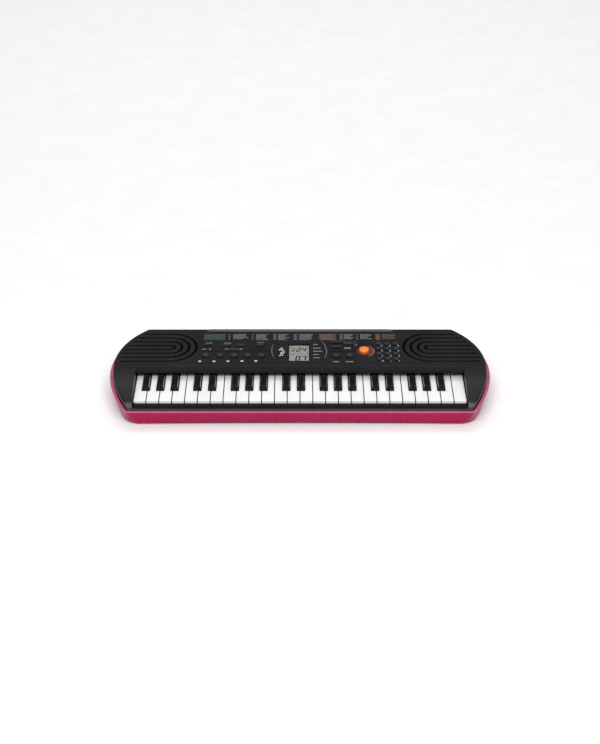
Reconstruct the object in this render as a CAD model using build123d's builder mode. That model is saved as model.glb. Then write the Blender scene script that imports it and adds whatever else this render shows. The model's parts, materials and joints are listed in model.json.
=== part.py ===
"""Toy electronic keyboard with 44 mini keys, as separate pieces, in millimetres.

X runs along the keyboard, +Y points away from the player and +Z is up. The origin is under the
middle of the case, on the surface that the rubber feet stand on.
"""
from build123d import *
from math import atan2, cos, hypot, radians, sin, sqrt, tan
import os

# ---------------------------------------------------------------- driving sizes
# keys
white_pitch = 19.88  # one white key and one gap
key_gap = 1.2  # between neighbouring white keys
notch_gap = 0.9  # between a black key and the white keys beside it
white_front_length = 30.5  # white key in front of a black key
black_length = 36.0  # black key in front of the panel's lower edge
black_tuck = 2.6  # raised part of a black key under the panel's lower edge
black_base_width = 11.2
black_top_width = 8.8
black_rise = 8.4  # black key's top over the white keys
black_nose_lean = 1.6  # how far a black key's nose leans back
outer_black_shift = 2.55  # outer two of three black keys, away from their gaps
pair_black_shift = 1.6  # each of two black keys, away from its gap
key_skin = 2.0  # top plate of a key
key_wall = 1.4
key_skirt = 9.0  # depth of a key's sides below the white top
key_corner = 1.0
key_edge = 0.6
black_edge = 1.0

# key hinge
hinge_depth = 26.0  # hinge axis behind the panel's lower edge
bead_radius = 2.0
bead_clearance = 0.06
hook_wall = 1.8
hook_mouth = 3.4
hinge_web = 1.6
rail_setback = 5.0  # hinge axis to the rail's upright
rail_thickness = 2.0
rail_foot = 13.0

# case
cheek_width = 43.56  # case beside the keys at its widest
front_rail_depth = 21.0  # case front to the front of the white keys
panel_depth = 123.5  # panel's lower edge to the back of the case
white_top_height = 34.0
panel_edge_height = 51.2  # control panel at its front edge
panel_back_height = 55.0  # control panel at the back of the case
facet_drop = 7.2  # sloping strip between the panel and the keys
facet_run = 10.2
front_rim_height = 27.0  # top of the tray at the front
middle_rim_height = 37.0  # top of the tray halfway back
back_rim_height = 41.0
base_height = 2.6  # underside of the tray at its ends, above the table
arch_rise = 3.4  # underside of the tray in the middle, above its ends
arch_half_span = 250.0
draft = 14.5  # lean of the tray's walls, in degrees
wall = 2.4
floor_thickness = 2.2
side_ledge = 6.5  # tray showing beside the upper case
front_ledge = 2.0
back_ledge = 0.8
front_end_radius = 202.0
back_end_radius = 146.0
lower_corner = 30.0
rim_corner = 2.5
rim_round = 1.0
groove_gap = 1.0  # dark line between the two halves
cheek_bend = 420.0  # cheeks bend down towards the player
nose_radius = 9.5  # cheeks roll over at the front
nose_start = 11.5  # where they start to roll over, behind the front
nose_turn = 48.0
lip_height = 1.5  # upper case's front edge above the tray
lip_depth = 3.6  # sloping strip along the front
strip_rise = 2.7
ledge_sink = 1.0  # floor between that strip and the keys, below the strip
edge_round = 2.0
panel_round = 1.0  # run of the rounding of the control panel's front edge
well_gap = 1.2  # between the end keys and the cheeks
part_gap = 0.15  # between the two halves of the case

# speakers and grilles
grille_x = 207.8
grille_y = 48.6
grille_pitch = 11.7
grille_first = 5.85  # middle of the innermost slot
grille_slots = 4
slot_width = 3.9
slot_round = 0.9
grille_margin = 8.0  # slots stop this far inside the case's end
speaker_radius = 33.0
speaker_rim = 5.0
speaker_depth = 15.0
magnet_radius = 16.0
magnet_depth = 8.0
cone_thickness = 0.8

# control panel
window_x = -1.55
window_y = 33.0
window_width = 33.7
window_length = 49.9
window_sink = 0.6
window_fit = 0.2
display_margin = 2.4
display_depth = 3.4
button_gap = 0.35
flange = 1.0  # rim that holds a button under the panel
flange_thickness = 1.2
cap_rise = 2.4
cap_round = 0.6
drum_radius = 5.6
drum_x = (-150.3, -127.9, -105.5, -83.6, -61.4)
drum_y = 22.6
long_buttons = ((-118.7, 53.2, 13.5), (-96.1, 53.2, 13.5), (-63.8, 52.6, 12.5),
                (57.9, 48.2, 19.0), (59.2, 62.8, 19.0), (77.6, 57.0, 16.0))
long_button_width = 5.2
round_button_x = (57.9, 79.6)
round_button_y = 22.0
start_x = 102.9
start_y = 38.0
start_radius = 8.2
start_rise = 4.2
start_dome = 2.6
dish_radius = 12.6
dish_sink = 0.7
number_radius = 4.2
number_columns = 3
number_rows = 4
number_pitch_x = 13.4
number_pitch_y = 15.0
number_x = 140.4
number_y = 34.6
slider_x = -148.6
slider_y = 53.2
slider_travel = 5.0
slider_length = 7.0
slider_width = 3.6
slider_rib_pitch = 1.2
groove_width = 1.2
groove_depth = 0.8
left_groove = (-156.0, -48.0, 36.2)
right_groove = (45.0, 91.0, 35.0)
left_crescent = ((-42.0, 59.5), (-45.3, 33.8), (-39.5, 11.0))
right_crescent = ((32.5, 70.0), (42.6, 35.6), (38.2, 11.4))
crescent_width = 1.8
crescent_rise = 0.8
ridge_half_length = 154.0
ridge_taper = 9.0
ridge_rise = 2.0
ridge_setback = 4.5
ridge_thickness = 3.0

# boards, fixings and power
board_thickness = 1.6
main_board_height = 45.0
main_board_half = 163.0
main_board_setback = 11.8  # from the panel's front edge
main_board_back_gap = 26.5  # to the back of the case
key_board_height = 13.6
key_board_inset = 4.4
key_board_depth = 36.0
key_board_setback = 20.5  # behind the front of the white keys
contact_setback = 8.0  # white keys' contacts behind the front of the black keys
contact_rows = 10.0  # from the white keys' contacts to the black keys'
dome_radius = 3.0
dome_base = 1.2
dome_height = 5.4
plunger = 2.4
plunger_gap = 2.6  # over a dome drawn at its pressed height
boss_radius = 4.2
tray_boss_radius = 5.0
boss_meet_height = 16.0
boss_from_side = 17.84  # front bosses, inside the case's rounded end
boss_from_front = 33.5
boss_from_end = 22.0
boss_from_back = 19.5
back_bosses = (158.0, 60.0)
screw_radius = 1.3
screw_head_radius = 2.9
screw_head_height = 1.8
screw_seat = 9.8
screw_length = 16.0
screw_clearance = 0.3
pilot_clearance = 0.05
driver_slot = 0.9
driver_reach = 4.35
foot_from_end = 77.0
foot_from_front = 27.5
foot_from_back = 35.5
foot_radius = 7.0
foot_height = 4.4
foot_fit = 0.1
cell_radius = 7.25
cell_length = 48.5
cell_tip = 1.4
cell_tip_radius = 2.7
cell_pitch = 15.2
cell_spread = 27.0
cells_from_back = 53.5
cell_gap = 0.5
box_half_x = 55.5
box_half_y = 23.6
box_wall = 1.6
cover_half_x = 51.0
cover_half_y = 21.4
cover_gap = 0.3
contact_plate = 0.5
jack_height = 3.5  # jack's middle above its board
jack_size = 8.0
jack_length = 13.0
phones_x = 122.0
supply_x = 143.0
phones_bore = 1.8
supply_bore = 2.9
supply_pin = 0.8
jack_clearance = 0.5
jack_margin = 2.0  # board beyond the two jacks together
jack_board_depth = 16.0
chip_x = (-90.0, -30.0, 60.0)
chip_y = 45.0
chip_length = 16.0
chip_width = 12.0
chip_height = 2.0
dust_cap_radius = 9.0
long_rise = 1.8
slider_rise = 2.2
latch_inset = 4.0
latch_length = 14.0
latch_width = 4.0
latch_depth = 2.0
foot_round = 0.8

# ---------------------------------------------------------------- worked-out places
octaves = ("F", "C", "F", "C", "F", "C", "F", "last")
white_groups = {"F": 4, "C": 3, "last": 1}
white_count = sum(white_groups[kind] for kind in octaves)
keys_width = white_count * white_pitch
keys_left = -keys_width / 2
well_half = keys_width / 2 - key_gap / 2 + well_gap
half_width = keys_width / 2 + cheek_width
case_depth = front_rail_depth + white_front_length + black_length + panel_depth
front_y = -case_depth / 2
back_y = case_depth / 2
key_front_y = front_y + front_rail_depth
black_front_y = key_front_y + white_front_length
facet_y = black_front_y + black_length
facet_z = panel_edge_height - facet_drop
panel_front_y = facet_y + facet_run
slope = atan2(panel_back_height - panel_edge_height, back_y - panel_front_y)
hinge_y = facet_y + hinge_depth
skirt_z = white_top_height - key_skirt
skin_z = white_top_height - key_skin
hook_radius = bead_radius + bead_clearance + hook_wall
hinge_z = skin_z + hook_wall / 2 - hook_radius
skirt_back_y = hinge_y - hook_radius - 2 * key_wall
key_back_y = hinge_y + hook_radius
rail_y = hinge_y + rail_setback
inner_floor = base_height + arch_rise + floor_thickness
ledge_back_y = key_front_y - key_gap
strip_back_y = front_y + front_ledge + lip_depth
strip_z = front_rim_height + part_gap + lip_height
cell_z = inner_floor + cell_gap + cell_radius
box_top = cell_z + cell_radius + cell_gap
top_wide = half_width - side_ledge
top_front_y = front_y + front_ledge
top_back_y = back_y - back_ledge
black_top = white_top_height + black_rise
dome_top = key_board_height + dome_height
dome_strip = contact_rows + 2 * dome_radius + wall
jack_board_y = top_back_y - wall - part_gap
boss_y = front_y + boss_from_front
boss_x = half_width - front_end_radius + sqrt(front_end_radius**2 - boss_y**2) - boss_from_side
bosses = ((boss_x, boss_y), (half_width - boss_from_end, 0.0),
          (back_bosses[0], back_y - boss_from_back), (back_bosses[1], back_y - boss_from_back))
foot_x = half_width - foot_from_end
foot_front = front_y + foot_from_front
foot_back = back_y - foot_from_back
cells_y = back_y - cells_from_back
main_board_front = panel_front_y + main_board_setback
main_board_back = back_y - main_board_back_gap
key_board_half = keys_width / 2 - key_board_inset
key_board_front = key_front_y + key_board_setback
key_board_back = key_board_front + key_board_depth
white_contact_y = black_front_y + contact_setback
black_contact_y = white_contact_y + contact_rows
lowest = 0.0
overhead = 2 * panel_back_height  # taller than everything

panel = Plane(origin=(0, 0, panel_edge_height - panel_front_y * tan(slope)), x_dir=(1, 0, 0),
              z_dir=(0, -sin(slope), cos(slope)))
panel_under = panel.offset(-wall)

os.makedirs("parts", exist_ok=True)


def save(builder, name):
    """Labels a finished sub-part and writes its STEP file."""
    builder.part.label = name
    export_step(builder.part, f"parts/{name}.step")


def black_keys():
    """Middle of every black key, from the left."""
    middles = []
    boundary = keys_left
    for kind in octaves:
        if kind == "F":
            shifts = (-outer_black_shift, 0.0, outer_black_shift)
        elif kind == "C":
            shifts = (-pair_black_shift, pair_black_shift)
        else:
            shifts = ()
        for step, shift in enumerate(shifts, start=1):
            middles.append(boundary + step * white_pitch + shift)
        boundary += white_groups[kind] * white_pitch
    return middles


blacks = black_keys()


# ---------------------------------------------------------------- outlines shared by pieces
def plan(inset, front, back, front_corner, back_corner):
    """Plan of the case: bowed ends, straight front and back, drawn into the open sketch."""
    wide = half_width - inset
    front_r = front_end_radius - inset
    back_r = back_end_radius - inset
    front_x = wide - front_r + sqrt(front_r**2 - front**2)
    back_x = wide - back_r + sqrt(back_r**2 - back**2)
    with BuildLine() as outline:
        Line((-front_x, front), (front_x, front))
        RadiusArc((front_x, front), (wide, 0), -front_r)
        RadiusArc((wide, 0), (back_x, back), -back_r)
        Line((back_x, back), (-back_x, back))
        RadiusArc((-back_x, back), (-wide, 0), -back_r)
        RadiusArc((-wide, 0), (-front_x, front), -front_r)
    face = make_face(outline.edges())
    rounded = fillet(face.vertices().sort_by(Axis.Y)[:2], front_corner)
    fillet(rounded.vertices().sort_by(Axis.Y)[-2:], back_corner)


# ---------------------------------------------------------------- tray (lower case)
def tray_section(height, extra, front_corner, back_corner):
    """Plan of the tray's walls at one height, drawn in by an extra amount."""
    lean = tan(radians(draft))
    plan((middle_rim_height - height) * lean + extra,
         front_y + (front_rim_height - height) * lean + extra,
         back_y - (back_rim_height - height) * lean - extra, front_corner, back_corner)


def rim_profile(drop):
    """Side view of everything under the tray's rim, lowered by an amount."""
    with BuildLine() as side:
        rim = ThreePointArc((front_y - wall, front_rim_height - drop),
                            (0, middle_rim_height - drop),
                            (back_y + wall, back_rim_height - drop))
        Polyline(rim @ 1, (back_y + wall, -overhead), (front_y - wall, -overhead), rim @ 0)
    make_face(side.edges())


side_view = Plane.YZ
front_view = Plane.XZ
tray_top = back_rim_height + wall

with BuildPart() as underside:  # room below the arched bottom
    with BuildSketch(front_view):
        with BuildLine() as arch:
            curve = ThreePointArc((-arch_half_span, base_height), (0, base_height + arch_rise),
                                  (arch_half_span, base_height))
            Polyline(curve @ 1, (half_width, base_height), (half_width, -overhead),
                     (-half_width, -overhead), (-half_width, base_height), curve @ 0)
        make_face(arch.edges())
    extrude(amount=case_depth, both=True)

with BuildPart() as tray_mouth:  # opening inside the rim
    with BuildSketch():
        plan(side_ledge + wall, top_front_y + wall, top_back_y - wall, rim_corner, rim_corner)
    extrude(amount=overhead)
    with BuildSketch(side_view):
        rim_profile(2 * wall)
    extrude(amount=half_width, both=True, mode=Mode.SUBTRACT)

with BuildPart() as rim_groove:  # shallow groove just outside the upper case
    with BuildSketch():
        plan(side_ledge - groove_gap, top_front_y - groove_gap, top_back_y + back_ledge / 2,
             rim_corner, rim_corner)
    extrude(amount=overhead)
    with BuildSketch(side_view):
        rim_profile(2 * groove_gap)
    extrude(amount=half_width, both=True, mode=Mode.SUBTRACT)
    with BuildSketch():
        plan(side_ledge, top_front_y, top_back_y, rim_corner, rim_corner)
    extrude(amount=overhead, mode=Mode.SUBTRACT)

with BuildPart() as tray_room:  # space inside the tray
    with BuildSketch(Plane.XY.offset(tray_top)):
        tray_section(tray_top, wall, rim_corner, rim_corner + wall)
    with BuildSketch(Plane.XY.offset(inner_floor)):
        tray_section(inner_floor, wall, lower_corner, lower_corner)
    loft(ruled=True)
    with BuildSketch(side_view):
        rim_profile(wall)
    extrude(amount=half_width, both=True, mode=Mode.INTERSECT)
    add(tray_mouth.part)

with BuildPart() as tray_blank:
    with BuildSketch(Plane.XY.offset(tray_top)):
        tray_section(tray_top, 0, rim_corner, rim_corner + wall)
    with BuildSketch(Plane.XY.offset(front_rim_height)):
        tray_section(front_rim_height, 0, rim_corner + wall / 2, rim_corner + wall)
    with BuildSketch(Plane.XY.offset(base_height)):
        tray_section(base_height, 0, lower_corner, lower_corner)
    loft(ruled=True)
    with BuildSketch(side_view):
        rim_profile(0)
    extrude(amount=half_width + tray_top, both=True, mode=Mode.INTERSECT)
    rim = [face for face in tray_blank.faces() if face.normal_at().Z > 0.5]
    fillet(max(rim, key=lambda face: face.area).outer_wire().edges(), rim_round)

with BuildPart() as bottom_case:
    add(tray_blank.part)
    add(tray_room.part, mode=Mode.SUBTRACT)
    add(rim_groove.part, mode=Mode.SUBTRACT)
    add(underside.part, mode=Mode.SUBTRACT)
    # battery box
    with Locations((0, cells_y, inner_floor)):
        Box(2 * (box_half_x + box_wall), 2 * (box_half_y + box_wall), box_top + box_wall - inner_floor,
            align=(Align.CENTER, Align.CENTER, Align.MIN))
        Box(2 * box_half_x, 2 * box_half_y, box_top - inner_floor,
            align=(Align.CENTER, Align.CENTER, Align.MIN), mode=Mode.SUBTRACT)
        Box(2 * (cover_half_x + cover_gap), 2 * (cover_half_y + cover_gap), overhead, mode=Mode.SUBTRACT,
            align=(Align.CENTER, Align.CENTER, Align.MAX))
    # screw posts, drilled from below
    with Locations(*[(side * x, y, base_height + arch_rise) for x, y in bosses for side in (-1, 1)]):
        Cylinder(tray_boss_radius, boss_meet_height - base_height - arch_rise,
                 align=(Align.CENTER, Align.CENTER, Align.MIN))
    with Locations(*[(side * x, y, lowest) for x, y in bosses for side in (-1, 1)]):
        Cylinder(screw_radius + screw_clearance, overhead, mode=Mode.SUBTRACT)
        Cylinder(screw_head_radius + screw_clearance, screw_seat, mode=Mode.SUBTRACT,
                 align=(Align.CENTER, Align.CENTER, Align.MIN))
    # sockets for the feet
    with Locations(*[(side * foot_x, y, lowest) for y in (foot_front, foot_back) for side in (-1, 1)]):
        Cylinder(foot_radius + foot_fit, foot_height + foot_fit, mode=Mode.SUBTRACT,
                 align=(Align.CENTER, Align.CENTER, Align.MIN))

# ---------------------------------------------------------------- upper case
def top_profile(drop):
    """Side view of everything under the upper case's surface, drawn in by an amount."""
    with BuildLine() as side:
        crown = Line((back_y + wall, panel_back_height + wall * tan(slope) - drop / cos(slope)),
                     (panel_front_y - drop * sin(slope), panel_edge_height - drop * cos(slope)))
        cheek_turn = (panel_front_y - front_y - nose_start) / cheek_bend
        cheek = JernArc(crown @ 1, crown % 1, cheek_bend - drop, cheek_turn / radians(1))
        nose = JernArc(cheek @ 1, cheek % 1, nose_radius - drop, nose_turn)
        Polyline(nose @ 1, (top_front_y + drop, strip_z - drop / 2), (top_front_y + drop, lowest),
                 (back_y + wall, lowest), crown @ 0)
    make_face(side.edges())


def well_profile(thickness):
    """Side view of the room for the keys; with a thickness, that room and the walls around it."""
    facet_length = hypot(facet_run, facet_drop)
    behind = thickness * facet_length / facet_drop
    with BuildLine() as side:
        if thickness:
            Polyline((front_y - wall, -wall), (front_y - wall, overhead),
                     (panel_front_y + behind, overhead), (panel_front_y + behind, panel_edge_height),
                     (facet_y + behind, facet_z), (facet_y, facet_z), (facet_y, -wall), close=True)
        else:
            brow = TangentArc((panel_front_y - panel_round * facet_run / facet_length,
                               panel_edge_height - panel_round * facet_drop / facet_length),
                              (panel_front_y + panel_round * cos(slope),
                               panel_edge_height + panel_round * sin(slope)),
                              tangent=(facet_run, facet_drop))
            Polyline(brow @ 0, (facet_y, facet_z), (facet_y, -wall), (ledge_back_y, -wall),
                     (ledge_back_y, strip_z + strip_rise - ledge_sink),
                     (strip_back_y, strip_z + strip_rise - ledge_sink),
                     (strip_back_y, strip_z + strip_rise), (top_front_y, strip_z),
                     (top_front_y - lip_depth, strip_z - strip_rise), (top_front_y - lip_depth, overhead),
                     ((brow @ 1).X, overhead), brow @ 1)
    make_face(side.edges())


def grille_slot(side, radius):
    """Outline of one slot: two straight runs from near the case's end, joined by a half-circle bend."""
    half = slot_width / 2
    outer, inner = radius + half, radius - half
    with BuildLine() as outline:
        for reach in (outer, inner):
            ThreePointArc((side * grille_x, grille_y + reach), (side * (grille_x - reach), grille_y),
                          (side * grille_x, grille_y - reach))
        for up in (-1, 1):
            run_y = grille_y + up * radius
            end_r = (back_end_radius if run_y > 0 else front_end_radius) - side_ledge
            end_x = top_wide - end_r + sqrt(end_r**2 - (abs(run_y) + half) ** 2) - grille_margin - half
            for reach in (outer, inner):
                Line((side * grille_x, grille_y + up * reach), (side * end_x, grille_y + up * reach))
            ThreePointArc((side * end_x, grille_y + up * outer), (side * (end_x + half), run_y),
                          (side * end_x, grille_y + up * inner))
    make_face(outline.edges())


with BuildPart() as top_room:  # space inside the upper case
    with BuildSketch():
        plan(side_ledge + wall, top_front_y + wall, top_back_y - wall, rim_corner, rim_corner)
    extrude(amount=overhead)
    with BuildSketch(side_view):
        top_profile(wall)
    extrude(amount=half_width, both=True, mode=Mode.INTERSECT)
    with BuildSketch(side_view):
        well_profile(wall)
    extrude(amount=well_half + wall, both=True, mode=Mode.SUBTRACT)

with BuildPart() as rim_room:  # everything under the joint between the two halves
    with BuildSketch(side_view):
        rim_profile(-part_gap)
    extrude(amount=half_width + wall, both=True)

with BuildPart() as top_posts:
    with Locations(*[(side * x, y, boss_meet_height + part_gap) for x, y in bosses for side in (-1, 1)]):
        Cylinder(boss_radius, overhead, align=(Align.CENTER, Align.CENTER, Align.MIN))
    with BuildSketch(side_view):
        top_profile(wall / 2)
    extrude(amount=half_width, both=True, mode=Mode.INTERSECT)

with BuildPart() as top_shell:
    with BuildSketch():
        plan(side_ledge, top_front_y, top_back_y, rim_corner, rim_corner + wall)
    extrude(amount=overhead)
    with BuildSketch(side_view):
        top_profile(0)
    extrude(amount=half_width, both=True, mode=Mode.INTERSECT)
    crest = [edge for edge in top_shell.edges().filter_by(GeomType.LINE, reverse=True)
             if edge.center().Z > strip_z + strip_rise]
    crest += top_shell.edges().filter_by(Axis.X).filter_by_position(Axis.Y, top_back_y - wall, back_y)
    crest = [edge for edge in crest if edge.center().Z > back_rim_height or edge.center().Y < 0]
    fillet(crest, edge_round)
    add(top_room.part, mode=Mode.SUBTRACT)
    add(rim_room.part, mode=Mode.SUBTRACT)
    with BuildSketch(side_view):
        well_profile(0)
    extrude(amount=well_half, both=True, mode=Mode.SUBTRACT)
    add(top_posts.part)
    with Locations(*[(side * x, y, boss_meet_height) for x, y in bosses for side in (-1, 1)]):
        Cylinder(screw_radius + pilot_clearance, screw_length, mode=Mode.SUBTRACT,
                 align=(Align.CENTER, Align.CENTER, Align.MIN))


# ---------------------------------------------------------------- openings and relief of the panel
caps = [(x, drum_y) for x in drum_x] + [(x, round_button_y) for x in round_button_x]
number_places = [(number_x + (column - (number_columns - 1) / 2) * number_pitch_x,
                  number_y + ((number_rows - 1) / 2 - row) * number_pitch_y)
                 for row in range(number_rows) for column in range(number_columns)]

with BuildPart() as top_case:
    add(top_shell.part)
    with BuildSketch(panel_under):
        for side in (-1, 1):
            for step in range(grille_slots):
                grille_slot(side, grille_first + step * grille_pitch)
    extrude(amount=2 * wall, mode=Mode.SUBTRACT)
    panel_face = top_case.faces().filter_by(GeomType.PLANE).sort_by(Axis(panel.origin, panel.z_dir))[-1]
    fillet(panel_face.inner_wires().edges(), slot_round)
    with BuildSketch(panel_under):
        with Locations(*caps):
            Circle(drum_radius + button_gap)
        with Locations(*number_places):
            Circle(number_radius + button_gap)
        with Locations((start_x, start_y)):
            Circle(start_radius + button_gap)
        for x, y, length in long_buttons:
            with Locations((x, y)):
                SlotOverall(length + 2 * button_gap, long_button_width + 2 * button_gap)
        with Locations((window_x, window_y)):
            Rectangle(window_width + 2 * window_fit, window_length + 2 * window_fit)
        with Locations((slider_x, slider_y)):
            SlotOverall(slider_length + slider_travel + 2 * button_gap, slider_width + 2 * button_gap)
    extrude(amount=2 * wall, mode=Mode.SUBTRACT)
    # shallow dish round the start button, and the long grooves
    with BuildSketch(panel.offset(-dish_sink)):
        with Locations((start_x, start_y)):
            Circle(dish_radius)
    extrude(amount=wall, mode=Mode.SUBTRACT)
    with BuildSketch(panel.offset(-groove_depth)):
        for left, right, y in (left_groove, right_groove):
            with Locations(((left + right) / 2, y)):
                SlotOverall(right - left, groove_width)
    extrude(amount=wall, mode=Mode.SUBTRACT)
    # crescents either side of the window, and the ridge along the back
    with BuildSketch(panel.offset(-crescent_rise)):
        for near, middle, far in (left_crescent, right_crescent):
            with BuildLine():
                ThreePointArc(near, middle, far)
            trace(line_width=crescent_width)
    extrude(amount=2 * crescent_rise)
    with BuildSketch(Plane.XZ.offset(ridge_setback - top_back_y)):
        with BuildLine():
            Polyline((-ridge_half_length, panel_back_height - wall),
                     (-ridge_half_length, panel_back_height - crescent_rise / 2),
                     (ridge_taper - ridge_half_length, panel_back_height + ridge_rise),
                     (ridge_half_length - ridge_taper, panel_back_height + ridge_rise),
                     (ridge_half_length, panel_back_height - crescent_rise / 2),
                     (ridge_half_length, panel_back_height - wall), close=True)
        make_face()
    extrude(amount=ridge_thickness)
    # holes for the two plugs
    with Locations(Location((phones_x, top_back_y, main_board_height + jack_height), (90, 0, 0))):
        Cylinder(phones_bore + jack_clearance, 4 * wall, mode=Mode.SUBTRACT)
    with Locations(Location((supply_x, top_back_y, main_board_height + jack_height), (90, 0, 0))):
        Cylinder(supply_bore + jack_clearance, 4 * wall, mode=Mode.SUBTRACT)
save(top_case, "top_case")
save(bottom_case, "bottom_case")

# ---------------------------------------------------------------- keys
def white_key(left, right, left_arm, right_arm):
    """White key between two sides; its arm behind the black keys is narrower."""
    back = skirt_back_y
    neck = black_front_y - notch_gap
    points = [(left, key_front_y), (right, key_front_y)]
    if right_arm < right:
        points += [(right, neck), (right_arm, neck)]
    points += [(right_arm, back), (left_arm, back)]
    if left_arm > left:
        points += [(left_arm, neck), (left, neck)]
    arm_x = (left_arm + right_arm) / 2
    arm_width = right_arm - left_arm
    with BuildPart() as key:
        with BuildSketch(Plane.XY.offset(skirt_z)) as outline:
            with BuildLine():
                Polyline(*points, close=True)
            make_face()
            fillet(outline.vertices().group_by(Axis.Y)[0], key_corner)
        extrude(amount=key_skirt)
        rim = key.faces().sort_by(Axis.Z)[-1].outer_wire().edges()
        fillet([edge for edge in rim if edge.center().Y < back - key_gap], key_edge)
        with BuildSketch(Plane.XY.offset(skirt_z)):
            with BuildLine():
                Polyline(*points, close=True)
            make_face()
            offset(amount=-key_wall, kind=Kind.INTERSECTION)
        extrude(amount=key_skirt - key_skin, mode=Mode.SUBTRACT)
        key_arm(arm_x, arm_width)
        with Locations((arm_x, white_contact_y, skin_z)):
            Box(plunger, plunger, skin_z - dome_top - plunger_gap,
                align=(Align.CENTER, Align.CENTER, Align.MAX))
    return key


def key_arm(middle, width):
    """Plate and hinge hook at the back of the key that is being built."""
    with Locations((middle, skirt_back_y - key_wall, skin_z)):
        Box(width, key_back_y - skirt_back_y + key_wall, key_skin,
            align=(Align.CENTER, Align.MIN, Align.MIN))
    with Locations(Location((middle, hinge_y, hinge_z), (0, 90, 0))):
        Cylinder(hook_radius, width)
        Cylinder(bead_radius + bead_clearance, width, mode=Mode.SUBTRACT)
    with Locations((middle, hinge_y, hinge_z)):
        Box(width, hook_radius + key_wall, hook_mouth, mode=Mode.SUBTRACT,
            align=(Align.CENTER, Align.MIN, Align.CENTER))


def black_key(middle):
    """Black key with a raised, tapered body in front of the panel."""
    raised = black_length + black_tuck
    raised_y = black_front_y + raised / 2
    nose = black_nose_lean
    slimmer = raised - nose
    length = skirt_back_y - black_front_y
    with BuildPart() as key:
        with BuildSketch(Plane.XY.offset(skirt_z)):
            with Locations((middle, black_front_y)):
                Rectangle(black_base_width, length, align=(Align.CENTER, Align.MIN))
        extrude(amount=key_skirt)
        with BuildSketch(Plane.XY.offset(white_top_height)):
            with Locations((middle, raised_y)):
                Rectangle(black_base_width, raised)
        with BuildSketch(Plane.XY.offset(black_top)):
            with Locations((middle, raised_y + nose / 2)):
                Rectangle(black_top_width, slimmer)
        loft(ruled=True)
        crown = key.faces().sort_by(Axis.Z)[-1].edges()
        fillet(crown, black_edge)
        with Locations((middle, black_front_y + key_wall, skirt_z)):
            Box(black_base_width - 2 * key_wall, length - 2 * key_wall, key_skirt - key_skin,
                align=(Align.CENTER, Align.MIN, Align.MIN), mode=Mode.SUBTRACT)
        with Locations((middle, black_front_y + key_wall + nose, skirt_z)):
            Box(black_top_width - 2 * key_wall, raised - 2 * key_wall - nose,
                black_top - key_skin - skirt_z, align=(Align.CENTER, Align.MIN, Align.MIN),
                mode=Mode.SUBTRACT)
        key_arm(middle, black_base_width)
        with Locations((middle, black_contact_y, black_top - key_skin)):
            Box(plunger, plunger, black_top - key_skin - dome_top - plunger_gap,
                align=(Align.CENTER, Align.CENTER, Align.MAX))
    return key


white_contacts = []
for index in range(white_count):
    left = keys_left + index * white_pitch + key_gap / 2
    right = left + white_pitch - key_gap
    reach = black_base_width / 2 + notch_gap
    left_arm = max([left] + [x + reach for x in blacks if x < left + key_gap * 4 and x + reach > left])
    right_arm = min([right] + [x - reach for x in blacks if x > right - key_gap * 4 and x - reach < right])
    white_contacts.append((left_arm + right_arm) / 2)
    save(white_key(left, right, left_arm, right_arm), f"white_key_{index + 1:02d}")
for index, middle in enumerate(blacks):
    save(black_key(middle), f"black_key_{index + 1:02d}")

# ---------------------------------------------------------------- key hinge, contacts and boards
with BuildPart() as key_hinge_rail:
    with Locations(Location((0, hinge_y, hinge_z), (0, 90, 0))):
        Cylinder(bead_radius, keys_width)
    with Locations((0, hinge_y, hinge_z)):
        Box(keys_width, rail_setback + rail_thickness / 2, hinge_web,
            align=(Align.CENTER, Align.MIN, Align.CENTER))
    with Locations((0, rail_y, inner_floor)):
        Box(keys_width, rail_thickness, hinge_z + hook_radius - inner_floor,
            align=(Align.CENTER, Align.MIN, Align.MIN))
        Box(keys_width, rail_foot, rail_thickness, align=(Align.CENTER, Align.MIN, Align.MIN))
save(key_hinge_rail, "key_hinge_rail")

with BuildPart() as contact_rubber:
    with Locations((0, (white_contact_y + black_contact_y) / 2, key_board_height)):
        Box(2 * key_board_half - 2 * wall, dome_strip, dome_base,
            align=(Align.CENTER, Align.CENTER, Align.MIN))
    domes = [(x, white_contact_y) for x in white_contacts] + [(x, black_contact_y) for x in blacks]
    with Locations(*[(x, y, key_board_height + dome_base) for x, y in domes]):
        Cone(dome_radius, dome_radius / 2, dome_height - dome_base,
             align=(Align.CENTER, Align.CENTER, Align.MIN))
save(contact_rubber, "contact_rubber")

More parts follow.
